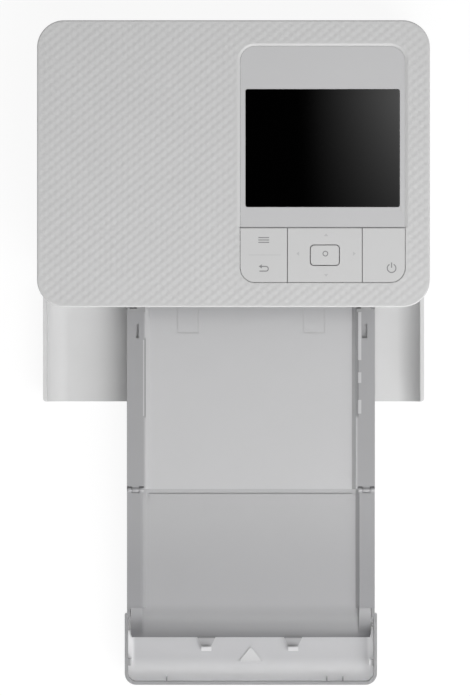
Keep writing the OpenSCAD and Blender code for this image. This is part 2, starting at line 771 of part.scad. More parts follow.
module ink_door() {
    color("whitesmoke") difference() {
        union() {
            block([case_w / 2 - wall, case_w / 2], [ink_door_y[0] + 0.4, ink_axis[1]], [14.3, 47.7]);
            translate([ink_axis[0], ink_axis[1], 14.3]) cylinder(33.4, wall / 2, wall / 2);
            block([case_w / 2 - wall - 4, case_w / 2 - wall + 0.1], [-22, -20.8], [26, 36]);
        }
        translate([ink_axis[0], ink_axis[1], 10]) cylinder(40, 0.86, 0.86);
        // Finger scoop
        translate([case_w / 2 + 2.2, -19, 31]) sphere(5.4);
    }
}

module cassette_outline(inset, back) {
    r = 5.5;
    translate([cas_x - cas_end_w / 2 + inset, cas_front + inset]) {
        translate([0, r - inset]) square([cas_end_w - 2 * inset, cas_end_len - r - inset]);
        translate([r - inset, 0]) square([cas_end_w - 2 * r, r]);
        for (x = [r - inset, cas_end_w - inset - r]) translate([x, r - inset]) circle(r - inset);
    }
    translate([cas_l + inset, cassette_end_y - inset - 1])
        square([cas_w - 2 * inset, back - cassette_end_y + 1]);
}

// The same outline up to a line across the front end
module front_end(inset, back) {
    intersection() {
        cassette_outline(inset, -200);
        square_at([-100, 100], [cas_front - 1, back]);
    }
}

module cassette_tray() {
    color("silver") difference() {
        union() {
            slab(cas_z, tray_floor) cassette_outline(0, cas_back);
            slab(cas_z, tray_rim) difference() {
                cassette_outline(0, -60);
                cassette_outline(cas_wall, -50);
            }
            // Lower walls of the end inside the body
            for (x = [cas_l, cas_r - cas_wall]) block([x, x + cas_wall], [-60.1, cas_back], [cas_z, 12.6]);
            block([cas_l, cas_r], [cas_back - cas_wall, cas_back], [cas_z, 11.6]);
            // Ears for the lid's hinge pins
            for (x = [cas_l, cas_r - cas_wall]) {
                block([x, x + cas_wall], [-67, -61], [12, lid_axis[1]]);
                bar(x, x + cas_wall, lid_axis, 3);
            }
            // Paper side guides
            for (x = [paper_l - 1.6, paper_r + 0.4])
                block([x, x + 1.2], [-205, -66], [tray_floor - 0.1, 12.6]);
            slab(cas_z, shelf_z) front_end(0, shelf_back);
            // Hooks that hold the lid's tabs
            for (x = hook_x) {
                block([x - 2.4, x + 2.4], [-229.2, -227.9], [shelf_z - 0.1, 11.6]);
                block([x - 2.4, x + 2.4], [-228, -227.3], [10.4, 11.6]);
            }
            // Catches for the folding cover on the side walls, and ribs on the front wall
            block([cas_x - 58.7, cas_x - 56.6], [-235.9, -232.7], [shelf_z - 0.1, 14.6]);
            block([cas_x + 55.9, cas_x + 58.7], [-235.9, -233], [shelf_z - 0.1, 14.6]);
            block([cas_x + 57.1, cas_x + 58.7], [-217.5, -215.9], [tray_floor - 0.1, 14.6]);
            for (x = [-31.7, 44.2, 51.8])
                block([x - 0.35, x + 0.35], [-243.6, -241.1], [shelf_z - 0.1, 14]);
            // Feed arrow
            slab(shelf_z - 0.1, shelf_z + 0.5)
                polygon([[cas_x - 5.3, -234], [cas_x + 5.3, -234], [cas_x, -227.8]]);
        }
        // Grip recess under the raised floor
        slab(cas_z - 1, shelf_z - cas_floor_t) front_end(cas_wall, shelf_back - cas_floor_t);
        for (x = [cas_l - 1, cas_r - cas_wall - 1]) bar(x, x + cas_wall + 2, lid_axis, 1.26);
        // Window under the lift plate for the printer's lifting lever
        block([cas_x - 14, cas_x + 14], [-62, -44], [0, tray_floor + 1]);
    }
}

module lift_plate() {
    color("gray") difference() {
        union() {
            block([paper_l + 6, paper_r - 6], [-109, -39.5], [7.2, 8.2]);
            bar(paper_l + 6, paper_r - 6, [-109, 7.9], 1.1);
        }
        block([cas_x - 20, cas_x + 20], [-100, -76], [0, 10]);
    }
}

// Gap that leaves a springy tongue, open towards the rear
module tongue_gap(xs, ys) {
    difference() {
        square_at(xs, ys);
        square_at([xs[0] + tongue_gap_w, xs[1] - tongue_gap_w], [ys[0] + tongue_gap_w, ys[1] + 1]);
    }
}

// Section of a pan-shaped cover: raised flanges, sloped steps and a sunk middle
module pan_section(half, step_in, low, high, t) {
    for (x = [-1, 1]) polygon([for (p = [[half, high], [step_in + 1.8, high], [step_in, low], [-1, low],
                               [-1, low - t], [step_in + 0.6, low - t], [step_in + 2.4, high - t],
                               [half, high - t]]) [cas_x + x * p[0], p[1]]]);
}

module cassette_lid() {
    color("silver") difference() {
        union() {
            along_y(lid_bend_y, -62.5) pan_section(lid_half, 49.6, lid_low, lid_high, lid_t);
            // The front edge curves down to the tray
            intersection() {
                difference() {
                    bar(cas_x - 56.6, cas_x + 56.6, [lid_bend_y, lid_low - lid_nose_r], lid_nose_r);
                    bar(cas_x - 60, cas_x + 60, [lid_bend_y, lid_low - lid_nose_r], lid_nose_r - lid_t);
                }
                block([-60, 80], [lid_front_y, lid_bend_y + 0.1], [shelf_z + 0.3, 20]);
            }
            // Tabs that the tray's hooks hold
            for (x = hook_x) slab(shelf_z + 0.3, shelf_z + 1.3)
                polygon([[x - 4.6, lid_front_y + 0.6], [x + 4.6, lid_front_y + 0.6], [x + 2.4, -226.8],
                         [x - 2.4, -226.8]]);
            // Side rails run down beside it
            for (x = [-56.8, 51.2]) along_x(cas_x + x, cas_x + x + 5.6)
                polygon([[lid_bend_y + 0.1, lid_high], [-213, 16.4], [-217.5, 14], [-220.5, 11.2],
                         [-221.8, 9.6], [-221.8, shelf_z + 0.3], [lid_bend_y + 0.1, 13]]);
            // Hinge lugs and pins
            for (s = [-1, 1]) {
                bar(cas_x + s * 55 - 1.5, cas_x + s * 55 + 1.5, lid_axis, 2);
                block([cas_x + s * 55 - 1.5, cas_x + s * 55 + 1.5], [lid_axis[0] - 2, lid_axis[0] + 2],
                      [lid_high - 1, lid_axis[1]]);
                bar(cas_x + s * 56.5 - 2, cas_x + s * 56.5 + 2, lid_axis, 1.2);
            }
            // Lugs and pins of the folding cover
            for (s = [-1, 1]) {
                for (k = [51.7, 57.4]) {
                    bar(cas_x + s * k - 0.9, cas_x + s * k + 0.9, fold_axis, lug_r);
                    block([cas_x + s * k - 0.9, cas_x + s * k + 0.9],
                          [fold_axis[0] - lug_r, fold_axis[0] + lug_r], [lid_high - 1, fold_axis[1]]);
                }
                bar(cas_x + s * 54.5 - 3.4, cas_x + s * 54.5 + 3.4, fold_axis, 0.7);
            }
            // Low bar across the lid in front of the fold
            block([cas_x - 48, cas_x + 48], [-158, -154.6], [lid_low - 0.1, lid_low + 0.5]);
        }
        for (s = [-1, 1]) {
            block([cas_x + s * lid_half - 1.9, cas_x + s * lid_half + 1.9], [-68, -60], [10, 18]);
            difference() {
                block([cas_x + s * 54.55 - 1.75, cas_x + s * 54.55 + 1.75],
                      [fold_axis[0] - lug_r - 0.4, fold_axis[0] + lug_r + 0.4], [16.7, 21]);
                bar(cas_x + s * 54.5 - 3.4, cas_x + s * 54.5 + 3.4, fold_axis, 0.7);
            }
        }
    }
}

module folding_cover() {
    color("lightgray") difference() {
        union() {
            along_y(fold_axis[0] + 0.3, -62.5) pan_section(lid_half, 47.9, cover_low, cover_high, lid_t);
            for (s = [-1, 1]) {
                bar(cas_x + s * 54.55 - 1.5, cas_x + s * 54.55 + 1.5, fold_axis, lug_r);
                block([cas_x + s * 54.55 - 1.5, cas_x + s * 54.55 + 1.5],
                      [fold_axis[0], fold_axis[0] + 2.2], [cover_high - lid_t, cover_high]);
            }
        }
        for (s = [-1, 1]) {
            // Room for the lid's lugs at both hinge lines
            block([cas_x + s * 55 - 5, cas_x + s * 55 + 5], [-68.5, -60], [10, 30]);
            for (k = [51.7, 57.4]) block([cas_x + s * k - 1.15, cas_x + s * k + 1.15],
                                         [fold_axis[0] - 2, fold_axis[0] + lug_r + 0.4], [10, 30]);
            bar(cas_x + s * 54.5 - 4, cas_x + s * 54.5 + 4, fold_axis, 0.76);
        }
        // Catch holes in the flanges
        for (xs = [[-54.2, -53], [52.6, 55]])
            block([cas_x + xs[0], cas_x + xs[1]], [-80.8, -74.2], [10, 30]);
        slab(cover_low - 2, cover_low + 1) for (x = tongue_x) tongue_gap([x, x + 10.2], [-78.4, -66.4]);
    }
}

module head_arm() {
    color("silver") union() {
        for (x = [-57.2, 68.4]) {
            along_x(x, x + 1.4) difference() {
                polygon([[4, 45.4], [4, 48], [48, 49], [53.2, 47.2], [53.2, 44.2], [48, 42.8], [44, 45.4]]);
                translate(head_axis) circle(1.5);
            }
            bar(x < 0 ? -60.2 : 67.4, x < 0 ? -55 : 73, head_axis, 1.5);
        }
        block([-56.5, 69], [4, 16], [46.4, 48]);
    }
}

module thermal_head() {
    fins = 9;
    color("lightgray") union() {
        block([film_l, film_r], [6, 14.5], [28.4, 36]);
        for (k = [0:fins - 1])
            block([film_l + 2 + k * 12.4, film_l + 4 + k * 12.4], [6, 14.5], [35.9, 46.4]);
        block([film_l + 1, film_r - 1], [8, 12], [26.4, 28.5]);
    }
}

module platen_shaft() { color("silver") bar(plate_l[0] - 0.5, plate_r[1] + 0.5, platen, 2.5); }

module platen_rubber() {
    color("dimgray") difference() {
        bar(film_l, film_r, platen, platen[2]);
        bar(film_l - 1, film_r + 1, platen, 2.5);
    }
}

module feed_roller() {
    color("silver") union() {
        bar(paper_l - 4, paper_r + 4, grip, grip[2]);
        bar(gear_x[0] - 0.6, plate_r[1] + 0.5, grip, 2.5);
    }
}

module feed_gear() { color("white") gear(gear_x, grip, roller_teeth, feed_turn, 2.5); }

module pinch_roller() {
    color("dimgray") union() {
        bar(paper_l, paper_r, pinch, pinch[2]);
        bar(plate_l[0], plate_r[1], pinch, 1.4);
    }
}

module pickup_shaft() { color("silver") bar(gear_x[0] - 0.6, plate_r[1] + 0.5, pickup, 2.5); }

module pickup_tyres() {
    color("dimgray") for (s = [-30, 30]) difference() {
        bar(cas_x + s - 6, cas_x + s + 6, pickup, pickup[2]);
        bar(cas_x + s - 7, cas_x + s + 7, pickup, 2.5);
    }
}

module pickup_gear() { color("white") gear(gear_x, pickup, roller_teeth, pick_turn, 2.5); }

module pickup_idler() {
    color("white") gear(gear_x, idle_at, idler_teeth, idle_turn, 1.56);
}

module motor_pinion() {
    color("goldenrod") union() {
        gear(big_gear_x, pinion_at, pinion_teeth, pinion_turn, 0.8);
        bar(bracket_x[0] - 3, big_gear_x[1], pinion_at, 0.8);
    }
}

module reduction_gear() {
    color("white") union() {
        gear(big_gear_x, reduce_at, large_teeth, reduce_turn, 1.56);
        gear([big_gear_x[1] - 0.01, gear_x[1]], reduce_at, small_teeth, reduce_turn, 1.56);
    }
}

module ribbon_pinion() {
    color("goldenrod") union() {
        gear(gear_x, ribbon_pinion_at, pinion_teeth, ribbon_pinion_turn, 0.8);
        bar(bracket_x[0] - 3, gear_x[1], ribbon_pinion_at, 0.8);
    }
}

module ribbon_idler() {
    color("white") gear(gear_x, ribbon_idle_at, idler_teeth, ribbon_idle_turn, 1.56);
}

// Gear with a drive dog that reaches the spool through the side plate
module takeup_gear() {
    color("white") union() {
        gear(gear_x, takeup, roller_teeth, 0, 1);
        bar(gear_x[0], -53.5, takeup, 3.2);
    }
}

bottom_case();
upper_case();
top_cover();
front_frame();
control_panel();
screen_glass();
lcd_module();
panel_board();
key_mat();
main_board();
card_socket();
usb_socket();
dc_jack();
dc_contact_pin();
chassis_left();
chassis_right();
rear_stay();
front_stay();
paper_guide();
roller_bushes();
gear_studs();
motor_bracket();
feed_motor();
ribbon_motor();
ribbon_case();
ink_ribbon();
rubber_feet();
chassis_screws();
case_screws();
door_pins();
ink_door_pins();
front_door();
ink_door();
menu_key();
pad_rocker();
direction_pad();
ok_key();
power_key();
cassette_tray();
lift_plate();
cassette_lid();
folding_cover();
head_arm();
thermal_head();
platen_shaft();
platen_rubber();
feed_roller();
feed_gear();
pinch_roller();
pickup_shaft();
pickup_tyres();
pickup_gear();
pickup_idler();
motor_pinion();
reduction_gear();
ribbon_pinion();
ribbon_idler();
takeup_spool();
takeup_gear();
supply_spool();
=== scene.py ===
# Looks of a compact photo printer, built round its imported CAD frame. Metres, +Z up, front is -Y.
import json
import math
import bmesh
import bpy
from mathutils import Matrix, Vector
from mathutils.geometry import delaunay_2d_cdt


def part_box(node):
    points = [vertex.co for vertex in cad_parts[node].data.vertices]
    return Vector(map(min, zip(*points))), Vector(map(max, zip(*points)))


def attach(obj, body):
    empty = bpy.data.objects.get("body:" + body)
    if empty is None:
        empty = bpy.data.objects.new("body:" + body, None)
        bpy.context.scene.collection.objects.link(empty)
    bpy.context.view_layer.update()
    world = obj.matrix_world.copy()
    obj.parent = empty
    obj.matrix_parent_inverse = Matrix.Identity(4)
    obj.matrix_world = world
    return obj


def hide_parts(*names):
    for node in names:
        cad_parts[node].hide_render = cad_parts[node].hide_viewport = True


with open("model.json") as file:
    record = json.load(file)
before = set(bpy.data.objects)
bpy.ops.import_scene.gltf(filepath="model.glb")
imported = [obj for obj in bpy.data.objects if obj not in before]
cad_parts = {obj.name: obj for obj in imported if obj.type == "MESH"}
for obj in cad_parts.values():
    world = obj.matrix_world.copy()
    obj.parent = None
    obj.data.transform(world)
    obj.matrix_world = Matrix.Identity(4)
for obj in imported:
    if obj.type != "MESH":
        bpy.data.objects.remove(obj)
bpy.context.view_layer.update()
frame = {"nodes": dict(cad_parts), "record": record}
nodes = frame["nodes"]
mm = 0.001
weldDistance = 0.002 * mm


def linear(hexColour):
    # sRGB hex to the linear colour that shaders want
    channels = [int(hexColour[i:i + 2], 16) / 255 for i in (1, 3, 5)]
    return [c / 12.92 if c <= 0.04045 else ((c + 0.055) / 1.055) ** 2.4 for c in channels] + [1.0]


def addNode(tree, kind, sockets=None, **settings):
    # One node, with its settings, and its sockets either linked or given a value
    node = tree.nodes.new(kind)
    for key, value in settings.items():
        setattr(node, key, value)
    for key, value in (sockets or {}).items():
        if isinstance(value, bpy.types.NodeSocket):
            tree.links.new(value, node.inputs[key])
        else:
            node.inputs[key].default_value = value
    return node


def newTree(owner):
    # The empty node tree of a new material or world
    owner.use_nodes = True
    owner.node_tree.nodes.clear()
    return owner.node_tree


# Straight above, as the photograph was taken. Metres, unless a comment says otherwise
photo = {
    "height": 696,                 # pixels
    "pixelsPerMetre": 2157,        # on the top plate
    "topPlate": 0.0576,            # above the table
    "distance": 2.0,               # from the top plate up to the lens
    "middle": (0.0007, -0.0855),
    "sensor": 36,                  # mm
    "clip": (0.1, 20),
}


def placeCamera():
    camera = bpy.data.objects.new("camera", bpy.data.cameras.new("camera"))
    bpy.context.scene.collection.objects.link(camera)
    camera.location = (*photo["middle"], photo["topPlate"] + photo["distance"])
    camera.data.sensor_width = photo["sensor"]
    camera.data.lens = photo["pixelsPerMetre"] * photo["distance"] / photo["height"] * photo["sensor"]
    camera.data.clip_start, camera.data.clip_end = photo["clip"]
    bpy.context.scene.camera = camera
    bpy.context.scene.view_settings.view_transform = "Standard"
    print("camera: lens", round(camera.data.lens, 1), "mm")


placeCamera()

# White paper sweep under the object
sweep = {
    "size": 14,                    # metres
    "lit": "#626262",              # the part of what the camera sees that the lamps light
    "glow": 0.9,                   # and the part that shines by itself
    "bounce": "#C8C8C8",           # what the object gets back from it
}


def buildSweep():
    bpy.ops.mesh.primitive_plane_add(size=sweep["size"], location=(0, 0, 0))
    floor = bpy.context.object
    floor.name = "floor"
    material = bpy.data.materials.new("white paper sweep")
    tree = newTree(material)
    path = addNode(tree, "ShaderNodeLightPath")
    seen = addNode(tree, "ShaderNodeMath", {0: path.outputs["Is Camera Ray"],
                                            1: path.outputs["Is Glossy Ray"]}, operation="MAXIMUM")
    shown = addNode(tree, "ShaderNodeMath", {0: seen.outputs[0],
                                             1: path.outputs["Is Transmission Ray"]},
                    operation="MAXIMUM")
    lit = addNode(tree, "ShaderNodeBsdfDiffuse", {"Color": linear(sweep["lit"])})
    glow = addNode(tree, "ShaderNodeEmission", {"Strength": sweep["glow"]})
    white = addNode(tree, "ShaderNodeAddShader", {0: lit.outputs[0], 1: glow.outputs[0]})
    bounce = addNode(tree, "ShaderNodeBsdfDiffuse", {"Color": linear(sweep["bounce"])})
    both = addNode(tree, "ShaderNodeMixShader", {0: shown.outputs[0], 1: bounce.outputs[0],
                                                 2: white.outputs[0]})
    addNode(tree, "ShaderNodeOutputMaterial", {"Surface": both.outputs[0]})
    floor.data.materials.append(material)


# White room round it. Its ceiling is dark right above the camera, so flat tops don't mirror white
room = {
    "ambient": 0.40,               # level at which the room lights the object
    "darkCap": (9, 16),            # degrees from straight up in which the dark turns to lit wall
}


def buildRoom():
    world = bpy.data.worlds.new("studio room")
    bpy.context.scene.world = world
    tree = newTree(world)
    place = addNode(tree, "ShaderNodeTexCoord")
    split = addNode(tree, "ShaderNodeSeparateXYZ", {0: place.outputs["Generated"]})
    darkTo, litFrom = (math.cos(math.radians(angle)) for angle in room["darkCap"])
    walls = addNode(tree, "ShaderNodeMapRange", {"Value": split.outputs["Z"], "From Min": litFrom,
                                                 "From Max": darkTo, "To Min": 1.0, "To Max": 0.0},
                    interpolation_type="SMOOTHSTEP")
    path = addNode(tree, "ShaderNodeLightPath")
    seen = addNode(tree, "ShaderNodeMath", {0: path.outputs["Is Camera Ray"],
                                            1: path.outputs["Is Transmission Ray"]},
                   operation="MAXIMUM")
    glossy = addNode(tree, "ShaderNodeMath", {0: path.outputs["Is Glossy Ray"],
                                              1: walls.outputs["Result"]}, operation="MULTIPLY")
    shown = addNode(tree, "ShaderNodeMath", {0: seen.outputs[0], 1: glossy.outputs[0]},
                    operation="MAXIMUM")
    ambient = addNode(tree, "ShaderNodeMath", {0: walls.outputs["Result"], 1: room["ambient"]},
                      operation="MULTIPLY")
    level = addNode(tree, "ShaderNodeMath", {0: ambient.outputs[0], 1: shown.outputs[0]},
                    operation="MAXIMUM")
    back = addNode(tree, "ShaderNodeBackground", {"Color": (1, 1, 1, 1), "Strength": level.outputs[0]})
    addNode(tree, "ShaderNodeOutputWorld", {"Surface": back.outputs[0]})


# One big soft box to the front and a little to the right, in metres and degrees
softBox = {
    "target": (0, -0.06, 0.03),
    "bearing": -62,                # from the object's right hand side, towards the rear
    "elevation": 40,
    "distance": 1.3,
    "size": 1.1,
    "watts": 17,
}


def buildSoftBox():
    target = Vector(softBox["target"])
    bearing = math.radians(softBox["bearing"])
    elevation = math.radians(softBox["elevation"])
    flat = math.cos(elevation)
    away = Vector((flat * math.cos(bearing), flat * math.sin(bearing), math.sin(elevation)))
    lamp = bpy.data.objects.new("soft box", bpy.data.lights.new("soft box", "AREA"))
    bpy.context.scene.collection.objects.link(lamp)
    lamp.data.shape = "SQUARE"
    lamp.data.size = softBox["size"]
    lamp.data.energy = softBox["watts"]
    lamp.location = Vector((target.x, target.y, 0)) + softBox["distance"] * away
    lamp.rotation_euler = (target - lamp.location).to_track_quat("-Z", "Y").to_euler()


# A card above the camera, seen only in gloss, above all the screen's. It gets brighter to the
# right, and faster towards the rear
card = {
    "x": (0.066, 0.76),            # metres
    "y": (-0.5, 0.6),
    "height": 2.45,
    "ramp": 0.098,                 # metres from the left edge to where the level is 1
    "most": 1.5,                   # level at which it stops rising
    "curve": 1.6,                  # power that the level is raised to
    "glow": 1.7,                   # brightness where the level is 1
    "brim": 0.166,                 # y behind which it rises fastest
    "slowest": 0.4,                # share of that at the front
    "fan": 4.4,                    # how much of that share each metre to the front takes away
}


def buildCard():
    mesh = bpy.data.meshes.new("graded card")
    corners = [(card["x"][i], card["y"][j], card["height"]) for i, j in ((0, 0), (0, 1), (1, 1), (1, 0))]
    mesh.from_pydata(corners, [], [(0, 1, 2, 3)])
    plane = bpy.data.objects.new("graded card", mesh)
    bpy.context.scene.collection.objects.link(plane)
    material = bpy.data.materials.new("graded card")
    tree = newTree(material)
    place = addNode(tree, "ShaderNodeTexCoord")
    split = addNode(tree, "ShaderNodeSeparateXYZ", {0: place.outputs["Object"]})
    left = card["x"][0]
    across = addNode(tree, "ShaderNodeMapRange", {
        "Value": split.outputs["X"], "From Min": left, "From Max": left + card["ramp"],
        "To Min": 0.0, "To Max": 1.0}, clamp=False)
    front = card["brim"] - (1 - card["slowest"]) / card["fan"]
    along = addNode(tree, "ShaderNodeMapRange", {
        "Value": split.outputs["Y"], "From Min": front, "From Max": card["brim"],
        "To Min": card["slowest"], "To Max": 1.0})
    level = addNode(tree, "ShaderNodeMath", {0: across.outputs["Result"], 1: along.outputs["Result"]},
                    operation="MULTIPLY")
    capped = addNode(tree, "ShaderNodeMath", {0: level.outputs[0], 1: card["most"]}, operation="MINIMUM")
    curve = addNode(tree, "ShaderNodeMath", {0: capped.outputs[0], 1: card["curve"]}, operation="POWER")
    glow = addNode(tree, "ShaderNodeMath", {0: curve.outputs[0], 1: card["glow"]}, operation="MULTIPLY")
    shine = addNode(tree, "ShaderNodeEmission", {"Strength": glow.outputs[0]})
    addNode(tree, "ShaderNodeOutputMaterial", {"Surface": shine.outputs[0]})
    mesh.materials.append(material)
    plane.visible_camera = False
    plane.visible_diffuse = False


buildSweep()
buildRoom()
buildSoftBox()
buildCard()
print("studio: sweep, room, soft box and graded card")

# Finishes, their mottle and grain sized in millimetres. The finer grain of real spark-eroded or
# ground surfaces wouldn't show, so it is drawn this coarse
finishes = {
    # Spark-eroded mould: an even, faintly grained white that spreads its highlights
    "case_plastic": ("moulded ABS, fine grain", {
        "colour": "#D6D6D6", "shade": "#D2D2D2", "mottle": 14, "grain": 0.35, "relief": 0.012,
        "roughness": (0.42, 0.52), "IOR": 1.52}),
    # The same plastic a shade greyer. Its pattern is in the mesh, so its own grain is fainter
    "top_plastic": ("embossed ABS", {
        "colour": "#CECECE", "shade": "#CACACA", "mottle": 18, "grain": 0.3, "relief": 0.006,
        "roughness": (0.4, 0.48), "IOR": 1.52}),
    # Polished mould: satin, with a soft sheen and nearly no grain
    "panel_plastic": ("satin ABS", {
        "colour": "#C6C6C7", "shade": "#C3C3C4", "mottle": 20, "grain": 0.2, "relief": 0.002,
        "roughness": (0.36, 0.42), "IOR": 1.52}),
    # The keys, a little whiter and duller than the panel round them
    "key_plastic": ("satin ABS, key white", {
        "colour": "#CECECE", "shade": "#CBCBCB", "mottle": 16, "grain": 0.2, "relief": 0.002,
        "roughness": (0.38, 0.44), "IOR": 1.52}),
    # Inner mouldings: the same grain in a light grey that sinks back into the mouth
    "frame_plastic": ("moulded ABS, light grey", {
        "colour": "#B9B9BA", "shade": "#B4B4B5", "mottle": 14, "grain": 0.35, "relief": 0.01,
        "roughness": (0.45, 0.55), "IOR": 1.52}),
    # Window printed black behind: only what it mirrors shows
    "screen_glass": ("acrylic window, black behind", {
        "colour": "#020202", "shade": "#010101", "mottle": 30, "grain": 3, "relief": 0.0002,
        "roughness": (0.02, 0.03), "IOR": 1.49}),
    # Milky polystyrene: light gets a little way in, so it looks soft and slightly see-through
    "cassette_plastic": ("milky polystyrene", {
        "colour": "#C6C6C7", "shade": "#C2C2C3", "mottle": 22, "grain": 0.4, "relief": 0.006,
        "roughness": (0.32, 0.4), "IOR": 1.57, "Transmission Weight": 0.25}),
    # The folding cover, whiter and with more of a bloom on it
    "cover_plastic": ("milky polystyrene, satin", {
        "colour": "#D7D7D8", "shade": "#D4D4D5", "mottle": 22, "grain": 0.4, "relief": 0.006,
        "roughness": (0.38, 0.46), "IOR": 1.57, "Transmission Weight": 0.25}),
    # A darker copy of the cover's plastic: painted shade, the grey of the cover's side flanges
    "flange_plastic": ("milky polystyrene, painted shade", {
        "colour": "#B0B0B1", "shade": "#ADADAE", "mottle": 22, "grain": 0.4, "relief": 0.006,
        "roughness": (0.38, 0.46), "IOR": 1.57, "Transmission Weight": 0.2}),
    # Painted light: paler than the floor round it, for the light a raised face catches
    "arrow_plastic": ("milky polystyrene, raised arrow", {
        "colour": "#CFCFD0", "shade": "#CDCDCE", "mottle": 22, "grain": 0.4, "relief": 0.006,
        "roughness": (0.38, 0.46), "IOR": 1.57}),
    # Glass fibre leaves the black a little dusty and uneven
    "dark_plastic": ("black glass-filled ABS", {
        "colour": "#1E1E1F", "shade": "#19191A", "mottle": 8, "grain": 0.3, "relief": 0.01,
        "roughness": (0.45, 0.6), "IOR": 1.52}),
    # Acetal is waxy and a little creamy
    "gear_plastic": ("natural acetal", {
        "colour": "#E2DFD6", "shade": "#D8D4C8", "mottle": 6, "grain": 0.25, "relief": 0.003,
        "roughness": (0.34, 0.42), "IOR": 1.48}),
    # Ground rubber swallows the light and has no highlight to speak of
    "rubber": ("EPDM rubber", {
        "colour": "#2B2B2B", "shade": "#232323", "mottle": 5, "grain": 0.4, "relief": 0.015,
        "roughness": (0.7, 0.85), "IOR": 1.5}),
    # Moulded silicone: matt, without a clear highlight
    "silicone": ("grey silicone", {
        "colour": "#77787A", "shade": "#6C6D6F", "mottle": 8, "grain": 0.4, "relief": 0.01,
        "roughness": (0.55, 0.65), "IOR": 1.43}),
    # Rolled sheet: long faint streaks along the rolling direction
    "steel": ("zinc-plated sheet steel", {
        "colour": "#B9BABD", "shade": "#A4A6AA", "mottle": 4, "grain": 0.12, "relief": 0.004,
        "roughness": (0.24, 0.4), "metallic": 1.0, "stretch": (1, 0.08, 1)}),
    # Ground and plated: nearly a mirror, slightly yellow
    "shaft_steel": ("ground nickel-plated steel", {
        "colour": "#C9C7C2", "shade": "#BDBBB6", "mottle": 5, "grain": 0.1, "relief": 0.001,
        "roughness": (0.14, 0.22), "metallic": 1.0}),
    # Turned from drawn rod, whose faint streaks along its length still show
    "brass": ("turned brass", {
        "colour": "#C9A45A", "shade": "#B8934A", "mottle": 3, "grain": 0.1, "relief": 0.002,
        "roughness": (0.2, 0.3), "metallic": 1.0, "stretch": (0.1, 1, 1)}),
    # Pressed through a die: streaks along its length
    "head_aluminium": ("extruded aluminium", {
        "colour": "#C4C5C7", "shade": "#B5B6B8", "mottle": 5, "grain": 0.15, "relief": 0.003,
        "roughness": (0.3, 0.42), "metallic": 1.0, "stretch": (0.06, 1, 1)}),
    # Grey pad-printed ink on the keys, dense for the main signs
    "ink": ("printed ink, grey", {
        "colour": "#8A8A8B", "shade": "#868687", "mottle": 3, "grain": 0.15, "relief": 0.001,
        "roughness": (0.5, 0.6), "IOR": 1.5}),
    # The same ink thinner, for the triangles and the dividing line
    "faint_ink": ("printed ink, faint", {
        "colour": "#BDBDBE", "shade": "#BABABB", "mottle": 3, "grain": 0.15, "relief": 0.001,
        "roughness": (0.5, 0.6), "IOR": 1.5}),
    # Solder mask: satin green lacquer over a fine weave
    "board": ("glass-epoxy board, green mask", {
        "colour": "#1E5A34", "shade": "#17492A", "mottle": 2.5, "grain": 0.3, "relief": 0.004,
        "roughness": (0.28, 0.38), "IOR": 1.55}),
    # Thin polyester film coated with dye: dark and smooth
    "film": ("coated polyester film", {
        "colour": "#2A2224", "shade": "#1F191B", "mottle": 9, "grain": 0.5, "relief": 0.002,
        "roughness": (0.2, 0.28), "IOR": 1.6}),
}

# Painted shade and light on the cassette's milky plastic. Its colour is darkened by position where shade
# falls, on walls, flanges, steps, the nose and the rear by the body, and the tray's floor is painted paler
# against its shadow.
# Each piece has the changes to its finish, and zones: what the colour is multiplied by, and the
# ramps along X, Y, Z or out from the cassette's middle, in mm from nothing to full
paintedShadeZones = {
    "cassette_tray": {
        # Paler base colour: painted light, so the floor doesn't show the shadow of its front wall
        "look": {"colour": "#F6F6F7", "shade": "#F4F4F5", "Transmission Weight": 0.5},
        "zones": [
            # Painted shade over the middle of the floor, with the hooks above it left out
            ("#DADADB", [("Y", -239.5, -231.5), ("side", 56.5, 54.5), ("Z", 10.4, 9.6)]),
            # Painted shade on the side walls, then on the front wall, darkest up at the rim
            ("#A0A0A1", [("Z", 9.5, 12.5), ("side", 56.0, 57.5)]),
            ("#A0A0A1", [("Z", 9.5, 12.5), ("Y", -240, -242), ("side", 57.5, 56.0)]),
        ],
    },
    "cassette_lid": {
        "look": {"colour": "#C9C9CA", "shade": "#C5C5C6"},
        "zones": [
            # Painted shade on the side flanges
            ("#E4E4E5", [("side", 49.8, 52.5)]),
            # Painted shade over the front part, from y -150 forwards
            ("#EEEEEF", [("Y", -150, -200)]),
            # Painted shade on the nose where it bends down
            ("#AEAEAF", [("Y", -206, -217), ("Y", -223.4, -223.0)]),
        ],
    },
    "folding_cover": {
        "look": {},
        "zones": [
            # Painted shade on the side flanges
            ("#D2D2D3", [("side", 49.4, 51.0)]),
            # Painted shade: a dark line beside the right-hand step
            ("#BCBCBD", [("X", 57.6, 57.9), ("X", 59.3, 59.0), ("Y", -119, -117)]),
            # Painted shade: a dark line beside the left-hand rib
            ("#BCBCBD", [("X", -42.2, -42.0), ("X", -41.4, -41.6), ("Y", -80, -81.7),
                         ("Y", -119, -117.6)]),
            # Painted shade at the rear middle, next to the body
            ("#F0F0F1", [("Y", -76, -66), ("side", 50, 48)]),
        ],
    },
}
trayLow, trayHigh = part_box("cassette_tray")
cassetteMiddle = (trayLow.x + trayHigh.x) / 2


def zoneShare(tree, place, zone):
    # 1 inside a zone of the piece and 0 outside, as a product of its ramps
    split = addNode(tree, "ShaderNodeSeparateXYZ", {0: place})
    share = None
    for axis, start, end in zone:
        value = split.outputs["X" if axis == "side" else axis]
        if axis == "side":
            offset = addNode(tree, "ShaderNodeMath", {0: value, 1: cassetteMiddle}, operation="SUBTRACT")
            value = addNode(tree, "ShaderNodeMath", {0: offset.outputs[0]},
                            operation="ABSOLUTE").outputs[0]
        ramp = addNode(tree, "ShaderNodeMapRange", {
            "Value": value, "From Min": start * mm, "From Max": end * mm, "To Min": 0.0, "To Max": 1.0},
            interpolation_type="SMOOTHSTEP").outputs["Result"]
        if share is None:
            share = ramp
        else:
            share = addNode(tree, "ShaderNodeMath", {0: share, 1: ramp}, operation="MULTIPLY").outputs[0]
    return share


